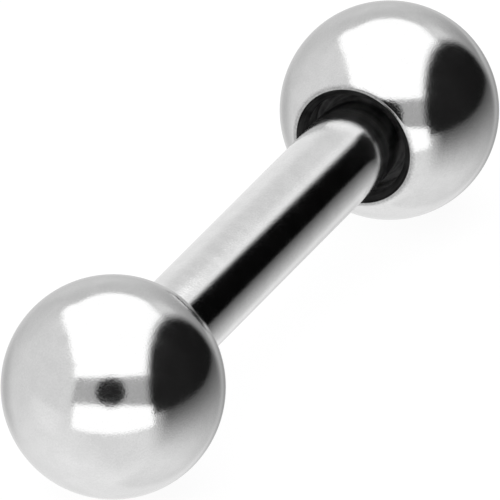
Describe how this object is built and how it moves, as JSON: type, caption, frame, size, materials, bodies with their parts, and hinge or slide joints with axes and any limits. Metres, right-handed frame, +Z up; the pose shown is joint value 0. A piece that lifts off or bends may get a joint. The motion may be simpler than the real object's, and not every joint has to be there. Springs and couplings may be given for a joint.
{
  "type": "piercing barbell",
  "caption": "Straight round bar with a screw-on ball at each end, worn through a piercing.",
  "frame": {"origin": "on the surface the barbell lies on, midway between the two balls", "axes": "+Y along the bar from the front ball to the rear ball, +Z up"},
  "size_m": [0.004, 0.0162, 0.004],
  "materials": {
    "polished_steel": "mirror-polished surgical steel"
  },
  "bodies": {
    "bar": {"shaft": "polished_steel"},
    "front": {"front_ball": "polished_steel"},
    "rear": {"rear_ball": "polished_steel"}
  },
  "joints": [
    {"name": "front_ball_unscrews", "type": "slide", "parent": "bar", "child": "front", "axis": [0, -1, 0], "range_m": [0, 0.003]},
    {"name": "rear_ball_unscrews", "type": "slide", "parent": "bar", "child": "rear", "axis": [0, 1, 0], "range_m": [0, 0.003]}
  ]
}
